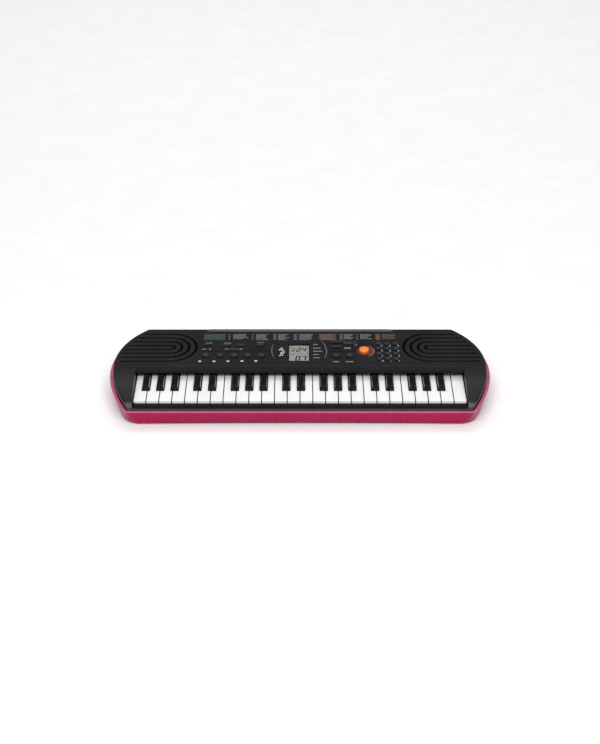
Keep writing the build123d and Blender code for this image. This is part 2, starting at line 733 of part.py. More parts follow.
with BuildPart() as circuit_boards:
    with Locations((0, (main_board_front + main_board_back) / 2, main_board_height)):
        Box(2 * main_board_half, main_board_back - main_board_front, board_thickness,
            align=(Align.CENTER, Align.CENTER, Align.MAX))
    with Locations((0, (key_board_front + key_board_back) / 2, key_board_height)):
        Box(2 * key_board_half, key_board_back - key_board_front, board_thickness,
            align=(Align.CENTER, Align.CENTER, Align.MAX))
    # chips on both boards
    with Locations(*[(x, chip_y, main_board_height - board_thickness) for x in chip_x]):
        Box(chip_length, chip_width, chip_height, align=(Align.CENTER, Align.CENTER, Align.MAX))
    # small board with the two sockets
    with Locations(((phones_x + supply_x) / 2, jack_board_y, main_board_height)):
        Box(supply_x - phones_x + jack_size + jack_margin, jack_board_depth, board_thickness,
            align=(Align.CENTER, Align.MAX, Align.MAX))
    with Locations(*[(x, jack_board_y, main_board_height) for x in (phones_x, supply_x)]):
        Box(jack_size, jack_length, 2 * jack_height, align=(Align.CENTER, Align.MAX, Align.MIN))
    with Locations(Location((phones_x, jack_board_y, main_board_height + jack_height), (90, 0, 0))):
        Cylinder(phones_bore, jack_length - wall, mode=Mode.SUBTRACT,
                 align=(Align.CENTER, Align.CENTER, Align.MIN))
    with Locations(Location((supply_x, jack_board_y, main_board_height + jack_height), (90, 0, 0))):
        Cylinder(supply_bore, jack_length - wall, mode=Mode.SUBTRACT,
                 align=(Align.CENTER, Align.CENTER, Align.MIN))
        Cylinder(supply_pin, jack_length - wall / 2, align=(Align.CENTER, Align.CENTER, Align.MIN))
save(circuit_boards, "circuit_boards")

# ---------------------------------------------------------------- display and speakers
with BuildPart() as display_window:
    with BuildSketch(panel_under):
        with Locations((window_x, window_y)):
            RectangleRounded(window_width, window_length, window_fit)
    extrude(amount=wall - window_sink)
save(display_window, "display_window")

with BuildPart() as lcd_display:
    with BuildSketch(panel_under.offset(-part_gap)):
        with Locations((window_x, window_y)):
            Rectangle(window_width + 2 * display_margin, window_length + 2 * display_margin)
    extrude(amount=-display_depth)
save(lcd_display, "lcd_display")

with BuildPart() as speakers:
    for side in (-1, 1):
        with BuildSketch(panel_under.offset(-part_gap)):
            with Locations((side * grille_x, grille_y)):
                Circle(speaker_radius)
                Circle(speaker_radius - speaker_rim, mode=Mode.SUBTRACT)
        extrude(amount=-flange_thickness)
        centre = panel_under.location * Location((side * grille_x, grille_y, -flange_thickness))
        with Locations(centre):
            Cone(magnet_radius, speaker_radius - speaker_rim / 2, speaker_depth,
                 align=(Align.CENTER, Align.CENTER, Align.MAX))
            Cone(magnet_radius - 2 * cone_thickness, speaker_radius - speaker_rim, speaker_depth,
                 align=(Align.CENTER, Align.CENTER, Align.MAX), mode=Mode.SUBTRACT)
        with Locations(centre * Location((0, 0, -speaker_depth))):
            Cylinder(magnet_radius + cone_thickness, magnet_depth,
                     align=(Align.CENTER, Align.CENTER, Align.MAX))
            Sphere(dust_cap_radius)
save(speakers, "speakers")

# ---------------------------------------------------------------- buttons and switch
def round_caps(places, radius, rise, edge):
    """Round buttons through the panel, each with a rim that holds it under the panel."""
    with BuildPart() as group:
        for place in places:
            with BuildSketch(panel_under.offset(-part_gap - flange_thickness)):
                with Locations(place):
                    Circle(radius + button_gap + flange)
            extrude(amount=flange_thickness)
            with BuildSketch(panel_under.offset(-part_gap - flange_thickness)):
                with Locations(place):
                    Circle(radius)
            extrude(amount=flange_thickness + part_gap + wall + rise)
        tops = group.faces().filter_by(GeomType.PLANE).sort_by(Axis(panel.origin, panel.z_dir))
        fillet([edge_ for face in tops[-len(places):] for edge_ in face.edges()], edge)
    return group


start_stop_button = round_caps([(start_x, start_y)], start_radius, start_rise, start_dome)
save(start_stop_button, "start_stop_button")

number_buttons = round_caps(number_places, number_radius, cap_rise, cap_round)
save(number_buttons, "number_buttons")

panel_caps = round_caps(caps, drum_radius, cap_rise, cap_round)
with BuildPart() as panel_buttons:
    add(panel_caps.part)
    for x, y, length in long_buttons:
        with BuildSketch(panel_under.offset(-part_gap - flange_thickness)):
            with Locations((x, y)):
                SlotOverall(length + 2 * (button_gap + flange), long_button_width + 2 * (button_gap + flange))
        extrude(amount=flange_thickness)
        with BuildSketch(panel_under.offset(-part_gap - flange_thickness)):
            with Locations((x, y)):
                SlotOverall(length, long_button_width)
        extrude(amount=flange_thickness + part_gap + wall + long_rise)
save(panel_buttons, "panel_buttons")

with BuildPart() as power_slider:
    with BuildSketch(panel_under.offset(-part_gap - flange_thickness)):
        with Locations((slider_x - slider_travel / 2, slider_y)):
            SlotOverall(slider_length + 2 * flange, slider_width + 2 * (button_gap + flange))
    extrude(amount=flange_thickness)
    with BuildSketch(panel_under.offset(-part_gap - flange_thickness)):
        with Locations((slider_x - slider_travel / 2, slider_y)):
            SlotOverall(slider_length, slider_width)
    extrude(amount=flange_thickness + part_gap + wall + slider_rise)
    # ribs for the finger
    with BuildSketch(panel.offset(slider_rise - flange_thickness / 2)):
        with Locations(*[(slider_x - slider_travel / 2 + step * slider_rib_pitch, slider_y)
                         for step in (-1, 0, 1)]):
            Rectangle(flange_thickness / 2, slider_width)
    extrude(amount=flange_thickness, mode=Mode.SUBTRACT)
save(power_slider, "power_slider")

# ---------------------------------------------------------------- underside, screws and cells
with BuildPart() as battery_cover:
    with Locations((0, cells_y, inner_floor)):
        Box(2 * cover_half_x, 2 * cover_half_y, inner_floor, align=(Align.CENTER, Align.CENTER, Align.MAX))
    add(underside.part, mode=Mode.SUBTRACT)
    with Locations((0, cells_y - cover_half_y + latch_inset, base_height + arch_rise)):
        Box(latch_length, latch_width, latch_depth, mode=Mode.SUBTRACT)
save(battery_cover, "battery_cover")

with BuildPart() as rubber_feet:
    with Locations(*[(side * foot_x, y, lowest) for y in (foot_front, foot_back) for side in (-1, 1)]):
        Cylinder(foot_radius, foot_height, align=(Align.CENTER, Align.CENTER, Align.MIN))
    fillet(rubber_feet.edges().group_by(Axis.Z)[0], foot_round)
save(rubber_feet, "rubber_feet")

with BuildPart() as case_screws:
    with Locations(*[(side * x, y, screw_seat) for x, y in bosses for side in (-1, 1)]):
        Cylinder(screw_head_radius, screw_head_height, align=(Align.CENTER, Align.CENTER, Align.MAX))
        Cylinder(screw_radius, screw_length, align=(Align.CENTER, Align.CENTER, Align.MIN))
    with Locations(*[(side * x, y, screw_seat - screw_head_height) for x, y in bosses for side in (-1, 1)]):
        Box(driver_slot, driver_reach, screw_head_height, mode=Mode.SUBTRACT)
        Box(driver_reach, driver_slot, screw_head_height, mode=Mode.SUBTRACT)
save(case_screws, "case_screws")

with BuildPart() as batteries:
    for column in (-1, 1):
        for row in (-1, 0, 1):
            facing = 1 if row else -1
            middle = Location((column * cell_spread, cells_y + row * cell_pitch, cell_z), (0, 90, 0))
            with Locations(middle):
                Cylinder(cell_radius, cell_length)
            with Locations(middle * Location((0, 0, facing * cell_length / 2))):
                Cylinder(cell_tip_radius, 2 * cell_tip)
            for end in (-1, 1):
                with Locations((column * cell_spread + end * (cell_length / 2 + cell_tip + contact_plate),
                                cells_y + row * cell_pitch, cell_z)):
                    Box(contact_plate, cell_radius, cell_radius)
save(batteries, "batteries")
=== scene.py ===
import json
import random
from math import atan2, cos, degrees, pi, radians, sin, sqrt
import bmesh
import bpy
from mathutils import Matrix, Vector


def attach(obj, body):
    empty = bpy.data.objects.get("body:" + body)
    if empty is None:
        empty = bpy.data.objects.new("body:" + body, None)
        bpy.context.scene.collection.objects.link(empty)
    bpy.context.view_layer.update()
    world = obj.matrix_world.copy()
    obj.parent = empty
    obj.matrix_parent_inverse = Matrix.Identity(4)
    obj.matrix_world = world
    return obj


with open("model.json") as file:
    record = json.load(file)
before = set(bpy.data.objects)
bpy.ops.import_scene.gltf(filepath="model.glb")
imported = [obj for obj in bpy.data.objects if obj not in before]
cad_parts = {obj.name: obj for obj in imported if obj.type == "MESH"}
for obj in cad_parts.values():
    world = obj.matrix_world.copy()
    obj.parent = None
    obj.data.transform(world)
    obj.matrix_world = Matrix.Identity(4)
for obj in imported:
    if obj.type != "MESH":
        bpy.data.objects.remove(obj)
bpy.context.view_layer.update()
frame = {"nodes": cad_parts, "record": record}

MM = 0.001
nodes = frame["nodes"]
dice = random.Random(7)

# ------------------------------------------------------------------ node helpers
GRAIN_DEPTH = 0.00008  # metres, the height of moulded plastic's surface grain


def srgb(r, g, b):
    """Linear colour from 0-255 display values."""
    out = []
    for c in (r, g, b):
        c = c / 255
        out.append(c / 12.92 if c <= 0.04045 else ((c + 0.055) / 1.055) ** 2.4)
    return (*out, 1.0)


def new_material(name):
    mat = bpy.data.materials.new(name)
    mat.use_nodes = True
    tree = mat.node_tree
    shader = tree.nodes["Principled BSDF"]
    return mat, tree, shader


def noise(tree, scale, detail, rough, coords):
    node = tree.nodes.new("ShaderNodeTexNoise")
    node.inputs["Scale"].default_value = scale
    node.inputs["Detail"].default_value = detail
    node.inputs["Roughness"].default_value = rough
    tree.links.new(coords, node.inputs["Vector"])
    return node.outputs["Fac"]


def ramp(tree, source, stops):
    """Turns a value into a colour, by stops of position and colour."""
    node = tree.nodes.new("ShaderNodeValToRGB")
    tree.links.new(source, node.inputs["Fac"])
    elements = node.color_ramp.elements
    while len(elements) < len(stops):
        elements.new(0.5)
    for element, (position, colour) in zip(elements, stops):
        element.position = position
        element.color = colour
    return node.outputs["Color"]


def spread(tree, source, low, high, lo_in=0.0, hi_in=1.0):
    """Maps the values from lo_in to hi_in onto low to high."""
    node = tree.nodes.new("ShaderNodeMapRange")
    tree.links.new(source, node.inputs["Value"])
    node.inputs["From Min"].default_value = lo_in
    node.inputs["From Max"].default_value = hi_in
    node.inputs["To Min"].default_value = low
    node.inputs["To Max"].default_value = high
    return node.outputs["Result"]


def rising(tree, source, start, end):
    """0 below start, 1 above end."""
    return spread(tree, source, 0.0, 1.0, start, end)


def falling(tree, source, start, end):
    """1 below start, 0 above end."""
    return spread(tree, source, 1.0, 0.0, start, end)


def object_coords(tree):
    return tree.nodes.new("ShaderNodeTexCoord").outputs["Object"]


def axes(tree, kind="Object"):
    """X, Y and Z of the object's own coordinates, or of its surface normal."""
    node = tree.nodes.new("ShaderNodeSeparateXYZ")
    tree.links.new(tree.nodes.new("ShaderNodeTexCoord").outputs[kind], node.inputs["Vector"])
    return node.outputs


def combine(tree, operation, a, b=None):
    node = tree.nodes.new("ShaderNodeMath")
    node.operation = operation
    tree.links.new(a, node.inputs[0])
    if b is not None:
        tree.links.new(b, node.inputs[1])
    return node.outputs["Value"]


def bump(tree, shader, height, strength, distance):
    node = tree.nodes.new("ShaderNodeBump")
    node.inputs["Strength"].default_value = strength
    node.inputs["Distance"].default_value = distance
    tree.links.new(height, node.inputs["Height"])
    tree.links.new(node.outputs["Normal"], shader.inputs["Normal"])


# ------------------------------------------------------------------ kinds of material
def moulded(name, dark, light, rough, grain=2600, grain_bump=0.25, spec=0.5, coat=0.0, coat_rough=0.1,
            patches=14, subsurface=0.0):
    """Moulded plastic: colour drifts between two close tones, fine spark-eroded grain, uneven gloss."""
    mat, tree, shader = new_material(name)
    where = object_coords(tree)
    tone = ramp(tree, noise(tree, patches, 4.0, 0.6, where), [(0.3, dark), (0.7, light)])
    tree.links.new(tone, shader.inputs["Base Color"])
    fine = noise(tree, grain, 2.0, 0.5, where)
    smear = noise(tree, patches * 3.1, 5.0, 0.65, where)
    tree.links.new(spread(tree, smear, rough[0], rough[1], 0.3, 0.7), shader.inputs["Roughness"])
    bump(tree, shader, fine, grain_bump, GRAIN_DEPTH)
    shader.inputs["Specular IOR Level"].default_value = spec
    shader.inputs["Coat Weight"].default_value = coat
    shader.inputs["Coat Roughness"].default_value = coat_rough
    if subsurface:
        shader.inputs["Subsurface Weight"].default_value = subsurface
        shader.inputs["Subsurface Radius"].default_value = (0.002, 0.002, 0.002)
    return mat


def metal(name, tone, rough, scale):
    """Bare metal with streaks that are a quarter brighter."""
    mat, tree, shader = new_material(name)
    streak = noise(tree, scale, 4.0, 0.7, object_coords(tree))
    bright = tuple(min(1, c * 1.25) for c in tone[:3]) + (1,)
    tree.links.new(ramp(tree, streak, [(0.3, tone), (0.75, bright)]), shader.inputs["Base Color"])
    tree.links.new(spread(tree, streak, rough, rough + 0.15), shader.inputs["Roughness"])
    shader.inputs["Metallic"].default_value = 1.0
    return mat


def clear_plastic(name):
    """A thin clear window with finger smudges."""
    mat, tree, shader = new_material(name)
    smudge = noise(tree, 60, 4.0, 0.6, object_coords(tree))
    tree.links.new(spread(tree, smudge, 0.02, 0.12, 0.3, 0.8), shader.inputs["Roughness"])
    shader.inputs["Base Color"].default_value = (0.03, 0.03, 0.03, 1)
    shader.inputs["Alpha"].default_value = 0.1
    shader.inputs["IOR"].default_value = 1.49
    return mat


def ink(name, colour, faded):
    """Screen-printed ink: fine breaks where the plastic's grain shows through."""
    return moulded(name, faded, colour, (0.45, 0.6), grain=5200, grain_bump=0.1, patches=900)


def thread_bands(tree, direction, coords):
    node = tree.nodes.new("ShaderNodeTexWave")
    node.bands_direction = direction
    node.inputs["Scale"].default_value = 900
    node.inputs["Distortion"].default_value = 0.4
    tree.links.new(coords, node.inputs["Vector"])
    return node.outputs["Fac"]


def woven(name, dark, light):
    """Matt cloth with threads along X and Y."""
    mat, tree, shader = new_material(name)
    where = object_coords(tree)
    weave = combine(tree, "MULTIPLY", thread_bands(tree, "X", where), thread_bands(tree, "Y", where))
    tree.links.new(ramp(tree, weave, [(0.0, dark), (1.0, light)]), shader.inputs["Base Color"])
    bump(tree, shader, weave, 0.5, 0.0002)
    shader.inputs["Roughness"].default_value = 0.95
    shader.inputs["Specular IOR Level"].default_value = 0.05
    return mat


def overlay(material, factor, low, high, scale):
    """Lays a second mottled tone over a material's colour where the factor is 1."""
    tree = material.node_tree
    mottle = noise(tree, scale, 3.0, 0.5, object_coords(tree))
    tone = ramp(tree, mottle, [(0.35, low), (0.65, high)])
    blend = tree.nodes.new("ShaderNodeMix")
    blend.data_type = "RGBA"
    base = tree.nodes["Principled BSDF"].inputs["Base Color"]
    under = base.links[0].from_socket
    tree.links.new(factor, blend.inputs["Factor"])
    tree.links.new(under, blend.inputs["A"])
    tree.links.new(tone, blend.inputs["B"])
    tree.links.new(blend.outputs["Result"], base)


# ------------------------------------------------------------------ materials of the CAD pieces
case_black = moulded("case_black", srgb(24, 24, 26), srgb(31, 30, 33), (0.21, 0.3), spec=0.12)
tray_pink = moulded("tray_pink", srgb(153, 4, 67), srgb(162, 8, 73), (0.24, 0.34),
                    grain=3200, grain_bump=0.03, spec=0.22)
key_white = moulded("key_white", srgb(243, 241, 244), srgb(250, 249, 251), (0.18, 0.26),
                    grain=3000, grain_bump=0.05, coat=0.3, coat_rough=0.08, patches=22)
key_black = moulded("key_black", srgb(3, 3, 4), srgb(7, 7, 8), (0.14, 0.2),
                    grain=3000, grain_bump=0.06, spec=0.16)
inner_plastic = moulded("inner_plastic", srgb(50, 50, 52), srgb(60, 60, 61), (0.5, 0.6))
button_black = moulded("button_black", srgb(22, 22, 25), srgb(30, 30, 33), (0.32, 0.42), spec=0.4)
button_orange = moulded("button_orange", srgb(250, 128, 36), srgb(255, 152, 60), (0.22, 0.3),
                        grain=2400, grain_bump=0.08, coat=0.4, subsurface=0.15)
silicone = moulded("silicone", srgb(172, 172, 168), srgb(186, 186, 180), (0.5, 0.62), subsurface=0.1)
foot_rubber = moulded("foot_rubber", srgb(24, 24, 24), srgb(34, 34, 34), (0.75, 0.9),
                      grain=900, grain_bump=0.5)
speaker_black = moulded("speaker_black", srgb(14, 14, 15), srgb(22, 22, 23), (0.6, 0.75),
                        grain=1200, grain_bump=0.4, spec=0.3)
lcd_grey = moulded("lcd_grey", srgb(172, 173, 166), srgb(180, 181, 174), (0.3, 0.4),
                   grain=4000, grain_bump=0.05)
screw_steel = metal("screw_steel", srgb(150, 150, 148), 0.3, 900)
cell_metal = metal("cell_metal", srgb(168, 168, 170), 0.35, 300)
board_green = moulded("board_green", srgb(16, 74, 42), srgb(24, 92, 52), (0.3, 0.45),
                      grain=1500, grain_bump=0.2, coat=0.3)
clear_window = clear_plastic("clear_window")

# where each painted shade and painted highlight starts and where it is full, as heights and depths in metres
UNDER_PANEL = (0.0440, 0.0478)
STRIP_TOP = (0.0318, 0.0330)
STRIP_BACK = (-0.1016, -0.1008)
NOSE_BACK = (-0.1010, -0.0925)
BAND_FOOT = (0.0246, 0.0252)
BAND_BACK = (-0.1010, -0.0980)
# the same for how squarely a surface faces up or sideways
FACING_UP = (0.3, 0.75)
FACING_SIDEWAYS = (0.75, 0.97)


def paint_shade_and_highlights_on_upper_case():
    """Painted shade below the panel's level; painted highlights make the noses of the cheeks and the front
    strip paler.
    """
    tree = case_black.node_tree
    at = axes(tree)
    # painted shade: the upper case is darker below the panel's level
    overlay(case_black, falling(tree, at["Z"], *UNDER_PANEL), srgb(6, 6, 7), srgb(11, 11, 12), 120)
    # painted highlight on the noses of the cheeks
    nose = combine(tree, "MULTIPLY", rising(tree, at["Z"], *STRIP_TOP),
                   falling(tree, at["Y"], *NOSE_BACK))
    overlay(case_black, nose, srgb(84, 80, 86), srgb(98, 94, 100), 300)
    # painted highlight along the front strip
    strip = combine(tree, "MULTIPLY", falling(tree, at["Y"], *STRIP_BACK),
                    falling(tree, at["Z"], *STRIP_TOP))
    overlay(case_black, strip, srgb(50, 47, 52), srgb(60, 56, 62), 300)


def paint_tray_highlights():
    """Painted highlights: the rim where it faces up, and a band along the front under it, are painted paler.
    """
    tree = tray_pink.node_tree
    # painted highlight on the faces that look up, the rim among them
    rim = rising(tree, axes(tree, "Normal")["Z"], *FACING_UP)
    at = axes(tree)
    # painted highlight along a band of the front, under the rim
    band = combine(tree, "MULTIPLY", rising(tree, at["Z"], *BAND_FOOT), falling(tree, at["Y"], *BAND_BACK))
    overlay(tray_pink, combine(tree, "MAXIMUM", rim, band), srgb(178, 82, 124), srgb(188, 92, 134), 300)


def paint_shade_on_key_sides():
    """Painted shade: the keys' upright sides are painted dark grey, so the gaps between them read dark."""
    tree = key_white.node_tree
    sideways = combine(tree, "ABSOLUTE", axes(tree, "Normal")["X"])
    # painted shade on the upright sides of the white keys
    overlay(key_white, rising(tree, sideways, *FACING_SIDEWAYS), srgb(22, 22, 23), srgb(34, 34, 36), 240)


paint_shade_and_highlights_on_upper_case()
paint_tray_highlights()
paint_shade_on_key_sides()

SLOTS = {"case_black": case_black, "tray_pink": tray_pink, "key_white": key_white, "key_black": key_black,
         "inner_plastic": inner_plastic, "board_green": board_green, "silicone": silicone,
         "lcd_grey": lcd_grey, "clear_window": clear_window, "speaker_black": speaker_black,
         "foot_rubber": foot_rubber, "screw_steel": screw_steel, "cell_metal": cell_metal,
         "button_black": button_black, "button_orange": button_orange}
for part in frame["record"]["subparts"]:
    obj = nodes[part["node"]]
    obj.data.materials.clear()
    obj.data.materials.append(SLOTS[part["material_slot"]])

# ------------------------------------------------------------------ places on the control panel
# A place on the panel is in millimetres: x along the keyboard, y up the slope and h over its surface.
# y is 0 where the slope passes over the middle of the case.
PANEL_FRONT_Y = -7.8
PANEL_FRONT_HEIGHT = 51.2
PANEL_RUN = 113.3
PANEL_RISE = 3.8
SLOPE = atan2(PANEL_RISE, PANEL_RUN)
PANEL_MIDDLE_HEIGHT = PANEL_FRONT_HEIGHT - PANEL_FRONT_Y * PANEL_RISE / PANEL_RUN
INK_TOP = 0.06


def on_panel(x, y, h=0.0):
    """The point in the object's frame, in metres, of a place on the panel."""
    return Vector((x, y * cos(SLOPE) - h * sin(SLOPE),
                   PANEL_MIDDLE_HEIGHT + y * sin(SLOPE) + h * cos(SLOPE))) * MM


def piece(name, bm, material, smooth=False, bevel=0.0):
    """Makes an object of a finished mesh, which rides on the case."""
    mesh = bpy.data.meshes.new(name)
    bmesh.ops.recalc_face_normals(bm, faces=bm.faces)
    bm.to_mesh(mesh)
    bm.free()
    if smooth:
        mesh.polygons.foreach_set("use_smooth", [True] * len(mesh.polygons))
    obj = bpy.data.objects.new(name, mesh)
    bpy.context.collection.objects.link(obj)
    mesh.materials.append(material)
    if bevel:
        mod = obj.modifiers.new("edges", "BEVEL")
        mod.width = bevel * MM
        mod.segments = 2
        mod.limit_method = "ANGLE"
    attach(obj, "case")


def join_loops(bm, first, second):
    """A band of faces between two closed loops with the same number of points."""
    for i in range(len(first)):
        j = (i + 1) % len(first)
        bm.faces.new((first[i], first[j], second[j], second[i]))


def prism(bm, outline, low, high):
    """A flat solid with a given outline, between two heights over the panel."""
    base = [bm.verts.new(on_panel(x, y, low)) for x, y in outline]
    top = [bm.verts.new(on_panel(x, y, high)) for x, y in outline]
    bm.faces.new(base)
    bm.faces.new(top)
    join_loops(bm, base, top)


def rect(x, y, w, h):
    """Outline of a rectangle about its middle."""
    return [(x - w / 2, y - h / 2), (x + w / 2, y - h / 2), (x + w / 2, y + h / 2), (x - w / 2, y + h / 2)]


def ellipse(x, y, half_width, half_height, count):
    """Outline of an ellipse about its middle."""
    turns = [2 * pi * i / count for i in range(count)]
    return [(x + half_width * cos(a), y + half_height * sin(a)) for a in turns]


def disc(x, y, r, count):
    return ellipse(x, y, r, r, count)


def printed(name, outlines, material, low=0.0, high=INK_TOP):
    """Thin solids with the given outlines, as one piece."""
    bm = bmesh.new()
    for outline in outlines:
        prism(bm, outline, low, high)
    piece(name, bm, material)


# ------------------------------------------------------------------ printing on the control panel
ink_white = ink("ink_white", srgb(226, 226, 228), srgb(196, 196, 200))
ink_grey = ink("ink_grey", srgb(150, 150, 156), srgb(118, 118, 124))
ink_red = ink("ink_red", srgb(118, 44, 54), srgb(94, 34, 44))
ink_blue = ink("ink_blue", srgb(44, 62, 108), srgb(36, 50, 88))
BLOCK_INKS = {"teal": ink("ink_teal", srgb(17, 28, 29), srgb(14, 24, 25)),
              "brown": ink("ink_brown", srgb(58, 38, 30), srgb(48, 31, 25)),
              "plum": ink("ink_plum", srgb(52, 34, 42), srgb(44, 29, 36)),
              "orange": ink("ink_orange", srgb(96, 48, 30), srgb(80, 40, 26)),
              "slate": ink("ink_slate", srgb(36, 34, 48), srgb(30, 29, 41))}
ROW_INKS = {"grey": ink_grey, "teal": ink("row_teal", srgb(60, 88, 88), srgb(46, 68, 70)),
            "warm": ink("row_warm", srgb(128, 98, 80), srgb(104, 78, 62))}
ROW_INK_ON_BLOCK = {"teal": "teal", "brown": "warm", "orange": "warm"}

# printed lists along the back: left end, right end, the block's ink, whether the block lies under it all
LISTS = [(-157, -120, "teal", True), (-118, -86, None, False), (-80, -52, None, False),
         (-44, -16, "slate", False), (-11, 23, "slate", False), (31, 60, "brown", True),
         (64, 88, "plum", False), (90, 117, None, False), (123, 156, "orange", False)]
MIDDLE_REACH = 60  # lists that come nearer the middle than this have a row more
BLOCK_Y = 79.6
BLOCK_HEIGHT = 19.0
ROW_Y = 87.6
MARK_Y = 86.6
ROW_PITCH = 3.3
ROW_HEIGHT = 1.3
DASH_LENGTHS = (1.2, 3.6)
DASH_GAP = 0.6


def print_lists():
    """Tinted blocks and rows of small dashes, which stand in for printed lists."""
    blocks = {}
    rows = {name: [] for name in ROW_INKS}
    for left, right, tint, full in LISTS:
        width = right - left
        dashes = rows[ROW_INK_ON_BLOCK.get(tint, "grey")]
        if tint:
            reach = width * (0.96 if full else 0.22)
            blocks.setdefault(tint, []).append(rect(left + reach / 2, BLOCK_Y, reach, BLOCK_HEIGHT))
        for row in range(6 if right > -MIDDLE_REACH and left < MIDDLE_REACH else 5):
            x = left + width * (0.06 if full else 0.3)
            end = right - dice.uniform(0.0, 0.3) * width
            while x < end:
                length = dice.uniform(*DASH_LENGTHS)
                dashes.append(rect(x + length / 2, ROW_Y - row * ROW_PITCH, length, ROW_HEIGHT))
                x += length + DASH_GAP
        if not full:
            dashes += [rect(left + 3.0, MARK_Y - row * ROW_PITCH, 2.4, 1.6) for row in (0, 2, 4)]
    for tint, outlines in blocks.items():
        printed("print_block_" + tint, outlines, BLOCK_INKS[tint], 0.0, 0.04)
    for name, outlines in rows.items():
        printed("print_rows_" + name, outlines, ROW_INKS[name], 0.02, 0.08)


# captions by the buttons: middle, width and height
CAPTIONS = [(-147.2, 61.0, 10.5, 1.7), (-116.9, 61.0, 12.0, 1.7), (-63.7, 62.4, 10.5, 1.7),
            (25.0, 56.6, 7.5, 2.3), (27.2, 45.6, 12.0, 2.3), (28.3, 36.0, 14.4, 2.3), (25.7, 26.3, 9.2, 2.3),
            (26.2, 16.8, 10.2, 2.3), (57.4, 5.0, 10.0, 2.6), (78.8, 5.0, 12.0, 2.6)]
CAPTION_PITCH = 2.6
BAR_LENGTHS = (1.0, 1.9)
BAR_GAP = 0.35
SHORTEST_REST = 0.6  # a caption ends when less than this is left of it


def caption(x, y, width, height, rows=1):
    """Generic stand-in for a printed word: a broken bar."""
    outlines = []
    end = x + width / 2
    for row in range(rows):
        at = x - width / 2
        while at < end - SHORTEST_REST:
            length = min(dice.uniform(*BAR_LENGTHS), end - at)
            outlines.append(rect(at + length / 2, y - row * CAPTION_PITCH, length, height))
            at += length + BAR_GAP
    return outlines


def print_symbols():
    """Two arrows joined by a line, marks in front of the slider, and a caption of two rows."""
    left_arrow = [(-122.0, 42.9), (-117.4, 41.2), (-117.4, 44.6)]
    right_arrow = [(-91.8, 42.9), (-96.4, 44.6), (-96.4, 41.2)]
    wedge = [(-158.0, 40.8), (-153.8, 40.8), (-153.8, 44.2)]
    symbols = [left_arrow, right_arrow, rect(-106.9, 42.9, 19.0, 0.5), rect(-152.2, 42.2, 1.2, 3.2),
               wedge, disc(-145.0, 42.2, 1.5, 16)]
    printed("print_symbols", caption(76.6, 47.0, 10.5, 1.9, rows=2) + symbols, ink_grey)


def drum_picture(x, y):
    """A drum's skin and its shell, seen from a little above."""
    skin = ellipse(x, y + 1.0, 2.3, 0.8, 24)
    shell = [(x - 2.3, y + 0.5), (x - 2.1, y - 1.4), (x, y - 1.9), (x + 2.1, y - 1.4), (x + 2.3, y + 0.5),
             (x, y - 0.2)]
    return [skin, shell]


def note(x, y, size):
    """Two heads, two stems and the beam of a pair of music notes."""
    beam = [(x - 0.2 * size, y + 3.4 * size), (x + 6.6 * size, y + 4.6 * size),
            (x + 6.6 * size, y + 7.0 * size), (x - 0.2 * size, y + 5.8 * size)]
    return [disc(x - 1.6 * size, y - 4.0 * size, 2.2 * size, 20),
            disc(x + 4.4 * size, y - 2.8 * size, 2.2 * size, 20),
            rect(x + 0.2 * size, y + 0.6 * size, 0.9 * size, 9.2 * size),
            rect(x + 6.2 * size, y + 1.6 * size, 0.9 * size, 9.0 * size), beam]


NUMBER_MARKS = "7894561230-+"
NUMBER_COLUMNS = 3
NUMBER_X = 131.6
NUMBER_Y = 52.6
NUMBER_PITCH_X = 13.35
NUMBER_PITCH_Y = 15.0
NUMBER_SIZE = 5.6
NUMBER_HALF_THICKNESS = 0.03
NUMBER_HEIGHT = 0.05


def print_number(index, mark):
    """A figure in front of its number button and to the right."""
    name = "print_number_%02d" % index
    row, column = divmod(index, NUMBER_COLUMNS)
    curve = bpy.data.curves.new(name, "FONT")
    curve.body = mark
    curve.size = NUMBER_SIZE * MM
    curve.extrude = NUMBER_HALF_THICKNESS * MM
    curve.align_x = "CENTER"
    curve.align_y = "CENTER"
    obj = bpy.data.objects.new(name, curve)
    obj.location = on_panel(NUMBER_X + column * NUMBER_PITCH_X, NUMBER_Y - row * NUMBER_PITCH_Y,
                            NUMBER_HEIGHT)
    obj.rotation_euler = (SLOPE, 0, 0)
    bpy.context.collection.objects.link(obj)
    curve.materials.append(ink_white)
    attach(obj, "case")


print_lists()
printed("print_captions", [bar for place in CAPTIONS for bar in caption(*place)], ink_grey)
print_symbols()
printed("print_red_line", [rect(83.0, 64.2, 26.0, 1.0)], ink_red)
printed("print_blue_patch", [rect(90.5, 55.4, 4.4, 7.0)], ink_blue)
drum_places = ((-159.3, 6.0), (-136.7, 6.0), (-114.7, 6.4), (-92.2, 6.6), (-70.3, 7.0))
printed("print_drum_pictures", [shape for place in drum_places for shape in drum_picture(*place)], ink_white)
note_places = ((-31.6, 42.4, 0.62), (-29.0, 33.6, 0.66), (-31.2, 25.6, 0.62))
printed("print_note_symbol", [shape for place in note_places for shape in note(*place)], ink_white)
for index, mark in enumerate(NUMBER_MARKS):
    print_number(index, mark)

# ------------------------------------------------------------------ display
WINDOW_X = -1.55
WINDOW_Y = 33.0
FACE_Y = 33.1
# heights over the panel, of thin layers that lie on the display under the window
DISPLAY_TOP = -2.545
FACE_TOP = -2.5
FIGURES_TOP = -2.46
BORDER_TOP = -2.44
FIGURE_LEAN = 0.16
# which bars of a seven-segment figure are dark, from a at the top, clockwise to f, with g in the middle
SEGMENTS = {"0": "abcdef", "2": "abged", "4": "fgbc", "7": "abc"}
FIGURES = [("0", -3.4, 19.4, 5.4, 11.5, 2.2), ("7", 6.4, 19.4, 5.0, 11.5, 2.2),
           ("2", -2.0, 44.5, 4.8, 11.0, 1.9), ("4", 6.6, 44.5, 4.4, 10.0, 1.9)]


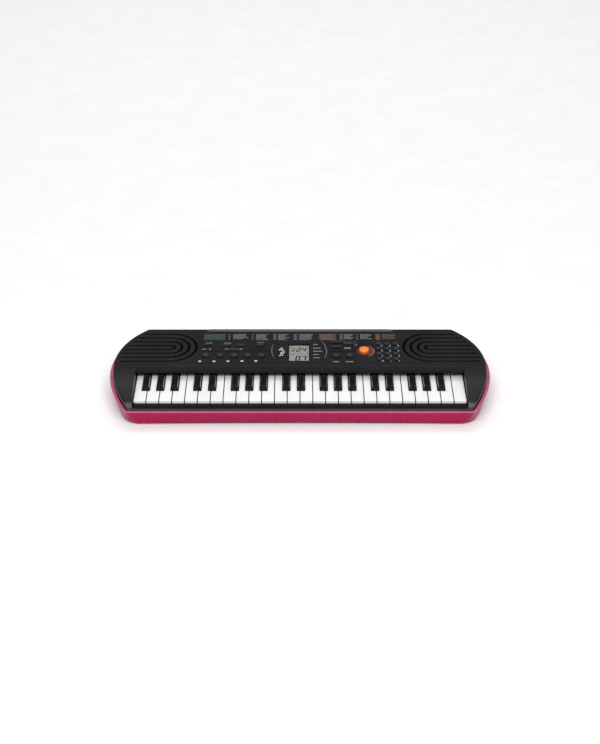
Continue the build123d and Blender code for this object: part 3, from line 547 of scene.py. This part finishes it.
def figure(mark, x, y, w, h, t):
    """Seven-segment figure of a width, height and bar thickness, leaning to the right."""
    half = h / 2
    bars = {"a": (0, half, w + t, t), "g": (0, 0, w + t, t), "d": (0, -half, w + t, t),
            "b": (w / 2, half / 2, t, half), "c": (w / 2, -half / 2, t, half),
            "f": (-w / 2, half / 2, t, half), "e": (-w / 2, -half / 2, t, half)}
    return [[(x + px + FIGURE_LEAN * py, y + py) for px, py in rect(*bars[key])] for key in SEGMENTS[mark]]


def display_border():
    """The dark frame printed round the display's face."""
    bm = bmesh.new()
    loops = [[bm.verts.new(on_panel(x, y, h)) for x, y in outline]
             for outline in (rect(WINDOW_X, WINDOW_Y, 35.0, 51.2), rect(WINDOW_X, FACE_Y, 31.6, 47.9))
             for h in (DISPLAY_TOP, BORDER_TOP)]
    outer_low, outer_high, inner_low, inner_high = loops
    join_loops(bm, outer_low, outer_high)
    join_loops(bm, outer_high, inner_high)
    join_loops(bm, inner_high, inner_low)
    join_loops(bm, inner_low, outer_low)
    piece("display_border", bm, lcd_black)


lcd_black = moulded("lcd_black", srgb(4, 4, 5), srgb(9, 9, 10), (0.4, 0.5),
                    grain=4000, grain_bump=0.05, spec=0.1)
lcd_face = moulded("lcd_face", srgb(168, 169, 162), srgb(177, 178, 171), (0.35, 0.5),
                   grain=5200, grain_bump=0.05, patches=70)
printed("display_face", [rect(WINDOW_X, FACE_Y, 32.0, 48.3)], lcd_face, DISPLAY_TOP, FACE_TOP)
lit = [bar for place in FIGURES for bar in figure(*place)]
lit += [rect(-13.6, 50.0, 2.2, 3.0), rect(-13.6, 40.4, 2.2, 3.0), rect(11.8, 51.6, 2.2, 2.2),
        rect(12.0, 33.6, 2.0, 2.6), rect(-9.2, 33.2, 2.4, 1.8), rect(-4.2, 32.2, 2.0, 1.6),
        rect(1.0, 33.4, 2.2, 1.6), disc(-12.8, 30.0, 1.3, 14), rect(-9.6, 45.0, 1.2, 6.4),
        disc(-10.8, 41.6, 1.7, 14), rect(-8.0, 48.2, 3.2, 1.4)]
printed("display_figures", lit, lcd_black, FACE_TOP, FIGURES_TOP)
display_border()

# ------------------------------------------------------------------ start button's rings, pale crescents
START_BUTTON = (102.9, 38.0)
RING_FOOT = -0.75  # just under the floor of the dish round the button
RING_CROWN_STEPS = 6
DEGREES_A_SECTION = 5
FEWEST_SECTIONS = 8
THINNEST_END = 0.04  # of the full width
CRESCENT_HALF_WIDTH = 0.75


def ring(name, material, centre, inner, outer, low, high, crown, start=0, stop=360):
    """A ring on the panel with a rounded crown, or a crescent, whose ends thin out."""
    cx, cy = centre
    bm = bmesh.new()
    count = max(FEWEST_SECTIONS, int((stop - start) / DEGREES_A_SECTION))
    closed = stop - start >= 360
    middle = (inner + outer) / 2
    sections = []
    for i in range(count if closed else count + 1):
        a = radians(start + (stop - start) * i / count)
        fullness = 1.0 if closed else sin(pi * i / count) ** 0.6
        half = (outer - inner) / 2 * max(fullness, THINNEST_END)
        across = [step / RING_CROWN_STEPS for step in range(RING_CROWN_STEPS + 1)]
        profile = [(middle - half, low)]
        profile += [(middle - half + 2 * half * g, high + crown * sin(pi * g) * fullness) for g in across]
        profile += [(middle + half, low)]
        sections.append([bm.verts.new(on_panel(cx + r * cos(a), cy + r * sin(a), h)) for r, h in profile])
    for first, second in zip(sections, sections[1:]):
        join_loops(bm, first, second)
    if closed:
        join_loops(bm, sections[-1], sections[0])
    else:
        bm.faces.new(sections[0])
        bm.faces.new(sections[-1])
    piece(name, bm, material, smooth=True)


def circle_through(a, b, c):
    """Centre and radius of the circle through three panel points."""
    (ax, ay), (bx, by), (cx, cy) = a, b, c
    d = 2 * (ax * (by - cy) + bx * (cy - ay) + cx * (ay - by))
    ux = ((ax**2 + ay**2) * (by - cy) + (bx**2 + by**2) * (cy - ay) + (cx**2 + cy**2) * (ay - by)) / d
    uy = ((ax**2 + ay**2) * (cx - bx) + (bx**2 + by**2) * (ax - cx) + (cx**2 + cy**2) * (bx - ax)) / d
    return (ux, uy), sqrt((ax - ux) ** 2 + (ay - uy) ** 2)


def crescent(name, material, back, middle, front):
    """A pale strip on top of one of the ridges that stand either side of the display."""
    (cx, cy), r = circle_through(back, middle, front)
    turns = [degrees(atan2(y - cy, x - cx)) % 360 for x, y in (back, middle, front)]
    start, stop = sorted((turns[0], turns[2]))
    if not start < turns[1] < stop:
        start, stop = stop - 360, start
    ring(name, material, (cx, cy), r - CRESCENT_HALF_WIDTH, r + CRESCENT_HALF_WIDTH, 0.6, 0.82, 0.14,
         start, stop)


ring_glow = moulded("ring_glow", srgb(150, 40, 10), srgb(196, 66, 18), (0.3, 0.4),
                    grain=2400, grain_bump=0.08, coat=0.3, patches=60)
ring_dark = moulded("ring_dark", srgb(60, 12, 8), srgb(84, 20, 12), (0.3, 0.4),
                    grain=2400, grain_bump=0.08, coat=0.2, patches=60)
ring_black = moulded("ring_black", srgb(20, 9, 8), srgb(34, 14, 11), (0.3, 0.4),
                     grain=2400, grain_bump=0.08, spec=0.2)
swirl_pale = moulded("swirl_pale", srgb(150, 118, 122), srgb(126, 92, 98), (0.35, 0.45),
                     grain=2400, grain_bump=0.08)
ring("start_ring", ring_black, START_BUTTON, 8.7, 9.9, RING_FOOT, -0.45, 0.3)
ring("start_ring_outer", ring_dark, START_BUTTON, 9.9, 12.5, RING_FOOT, -0.6, 0.2)
ring("start_ring_bright", ring_glow, START_BUTTON, 10.4, 11.9, -0.6, -0.42, 0.3, -125, 40)
ring("start_swirl", swirl_pale, (102.0, 36.0), 15.6, 17.6, 0.0, 0.12, 0.5, -70, 72)
ring("start_swirl_dark", ring_dark, (101.6, 36.4), 12.9, 15.4, 0.0, 0.06, 0.2, -58, 64)

crescent_grey = moulded("crescent_grey", srgb(92, 92, 96), srgb(116, 116, 120), (0.3, 0.4),
                        grain=2400, grain_bump=0.08)
crescent("crescent_left", crescent_grey, (-42.0, 59.5), (-45.3, 33.8), (-39.5, 11.0))
crescent("crescent_right", crescent_grey, (32.5, 70.0), (42.6, 35.6), (38.2, 11.4))

# ------------------------------------------------------------------ cloth behind the speaker grilles
GRILLE_X = 207.8
GRILLE_Y = 48.6
CLOTH_RADIUS = 44.5
CLOTH_STEPS = 24  # of its half circle, on the side of the display
CLOTH_OUTER_END = ((262, 5.0), (284, 10.0), (282, 30.0), (278, 48.0), (270, 64.0), (256, 84.0), (240, 92.0))
CLOTH_LOW = -2.56
CLOTH_HIGH = -2.46


def grille_cloth(name, side, material):
    turns = [radians(90 + 180 * i / CLOTH_STEPS) for i in range(CLOTH_STEPS + 1)]
    outline = [(side * (GRILLE_X + CLOTH_RADIUS * cos(a)), GRILLE_Y + CLOTH_RADIUS * sin(a)) for a in turns]
    outline += [(side * x, y) for x, y in CLOTH_OUTER_END]
    bm = bmesh.new()
    prism(bm, outline, CLOTH_LOW, CLOTH_HIGH)
    piece(name, bm, material)


# the cloth hides the tray under the slots; its near-black tone is painted shade in the slots
cloth = woven("grille_cloth", srgb(2, 2, 2), srgb(9, 9, 9))
grille_cloth("grille_cloth_left", -1, cloth)
grille_cloth("grille_cloth_right", 1, cloth)

# ------------------------------------------------------------------ dark liner of the well under the keys
LINER_HALF_LENGTH = 262.4
LINER_FRONT = -95.5
LINER_BACK = 12.5
LINER_GAP = (-66.0, -27.0)  # open over the contacts, from front to back
LINER_UNDERSIDE = 8.3
LINER_FLOOR = 9.0
LINER_TOP = 26.8
LINER_SKIN = 0.8


def slab(bm, low, high):
    """A rectangular wall with real thickness."""
    corners = [(x, y, z) for z in (low[2], high[2]) for y in (low[1], high[1]) for x in (low[0], high[0])]
    v = [bm.verts.new(Vector(c) * MM) for c in corners]
    for f in ((0, 1, 3, 2), (4, 5, 7, 6), (0, 1, 5, 4), (2, 3, 7, 6), (0, 2, 6, 4), (1, 3, 7, 5)):
        bm.faces.new([v[i] for i in f])


def key_bed_liner():
    side, front, back, top = LINER_HALF_LENGTH, LINER_FRONT, LINER_BACK, LINER_TOP
    bm = bmesh.new()
    slab(bm, (-side, front, LINER_UNDERSIDE), (side, LINER_GAP[0], LINER_FLOOR))
    slab(bm, (-side, LINER_GAP[1], LINER_UNDERSIDE), (side, back, LINER_FLOOR))
    slab(bm, (-side, front, LINER_FLOOR), (-side + LINER_SKIN, back, top))
    slab(bm, (side - LINER_SKIN, front, LINER_FLOOR), (side, back, top))
    slab(bm, (-side, front - LINER_SKIN, LINER_UNDERSIDE), (side, front, top))
    liner = moulded("liner_dark", srgb(20, 20, 21), srgb(27, 27, 28), (0.6, 0.7), grain=1200, grain_bump=0.3)
    piece("key_bed_liner", bm, liner, bevel=0.2)


key_bed_liner()

# ------------------------------------------------------------------ pale strip on the ridge at the back, a painted highlight
RIDGE_STRIP_Y = 96.9
RIDGE_STRIP_DEPTH = 0.4
RIDGE_STRIP_LEAN = 0.02  # its foot stands this far behind its front edge
RIDGE_STRIP_FOOT = 54.72
RIDGE_STRIP_EDGE = 55.0  # height of its front edge, before its rise
RIDGE_STRIP_SLOPE = 0.2  # its back edge stands this much higher
RIDGE_STATIONS = ((-152.0, 0.3), (-143.5, 1.7), (143.5, 1.7), (152.0, 0.3))  # place and rise


def ridge_strip():
    bm = bmesh.new()
    stations = []
    for x, rise in RIDGE_STATIONS:
        edge, back = RIDGE_STRIP_EDGE + rise, RIDGE_STRIP_Y + RIDGE_STRIP_DEPTH
        section = ((RIDGE_STRIP_Y + RIDGE_STRIP_LEAN, RIDGE_STRIP_FOOT), (RIDGE_STRIP_Y, edge),
                   (back, edge + RIDGE_STRIP_SLOPE), (back, RIDGE_STRIP_FOOT))
        stations.append([bm.verts.new(Vector((x, y, z)) * MM) for y, z in section])
    for first, second in zip(stations, stations[1:]):
        join_loops(bm, first, second)
    bm.faces.new(stations[0])
    bm.faces.new(stations[-1])
    # painted highlight: the strip's pale grey stands for light caught on the ridge's front face
    grey = moulded("ridge_painted_highlight", srgb(120, 118, 120), srgb(138, 136, 138), (0.3, 0.4), grain_bump=0.1)
    piece("ridge_strip", bm, grey)


ridge_strip()


# ------------------------------------------------------------------ floor, light and camera, in metres
def studio_floor():
    """A pale table top, far larger than the view."""
    paper = moulded("floor_paper", srgb(250, 250, 250), srgb(255, 255, 255), (0.8, 0.9),
                    grain=400, grain_bump=0.02)
    mesh = bpy.data.meshes.new("floor")
    bm = bmesh.new()
    rows = [[bm.verts.new((x, y, 0.0)) for y in (-4.0, -1.0, 1.0, 7.0)] for x in (-5.0, 5.0)]
    for i in range(3):
        bm.faces.new((rows[0][i], rows[1][i], rows[1][i + 1], rows[0][i + 1]))
    bm.to_mesh(mesh)
    bm.free()
    floor = bpy.data.objects.new("floor", mesh)
    bpy.context.collection.objects.link(floor)
    mesh.materials.append(paper)


def softbox(name, place, target, size, power):
    """A rectangular lamp of a width and height in metres and a power in watts, aimed at a point."""
    data = bpy.data.lights.new(name, "AREA")
    data.shape = "RECTANGLE"
    data.size, data.size_y = size
    data.energy = power
    lamp = bpy.data.objects.new(name, data)
    lamp.location = place
    lamp.rotation_euler = (Vector(target) - Vector(place)).to_track_quat("-Z", "Y").to_euler()
    bpy.context.collection.objects.link(lamp)


def studio_world():
    """Grey surroundings, brightest overhead."""
    world = bpy.data.worlds.new("studio")
    world.use_nodes = True
    tree = world.node_tree
    height = axes(tree, "Generated")["Z"]
    levels = ((0.0, 0.28), (0.56, 0.2), (0.95, 0.8))
    greys = [(position, (level, level, level, 1)) for position, level in levels]
    tree.links.new(ramp(tree, height, greys), tree.nodes["Background"].inputs["Color"])
    tree.nodes["Background"].inputs["Strength"].default_value = 1.0
    bpy.context.scene.world = world
    bpy.context.scene.view_settings.view_transform = "Standard"


def studio_camera(place, tilt, focal_length):
    """A camera on a 36 mm sensor, tilted up by some degrees from looking straight down."""
    lens = bpy.data.cameras.new("camera")
    lens.lens = focal_length
    lens.sensor_width = 36.0
    lens.clip_end = 30
    camera = bpy.data.objects.new("camera", lens)
    camera.location = place
    camera.rotation_euler = (radians(tilt), 0, 0)
    bpy.context.collection.objects.link(camera)
    bpy.context.scene.camera = camera


studio_floor()
softbox("key_light", (0.0, -1.75, 2.0), (0, 0, 0), (2.4, 0.8), 47)
softbox("back_light", (0.0, 1.9, 2.6), (0, 1.9, 0), (4.0, 1.6), 36)
softbox("front_light", (0.0, -2.9, 0.6), (0, 0, 0.03), (2.2, 0.4), 8)
studio_world()
studio_camera((0.0, -2.13736, 1.31972), 59.0, 75.78)
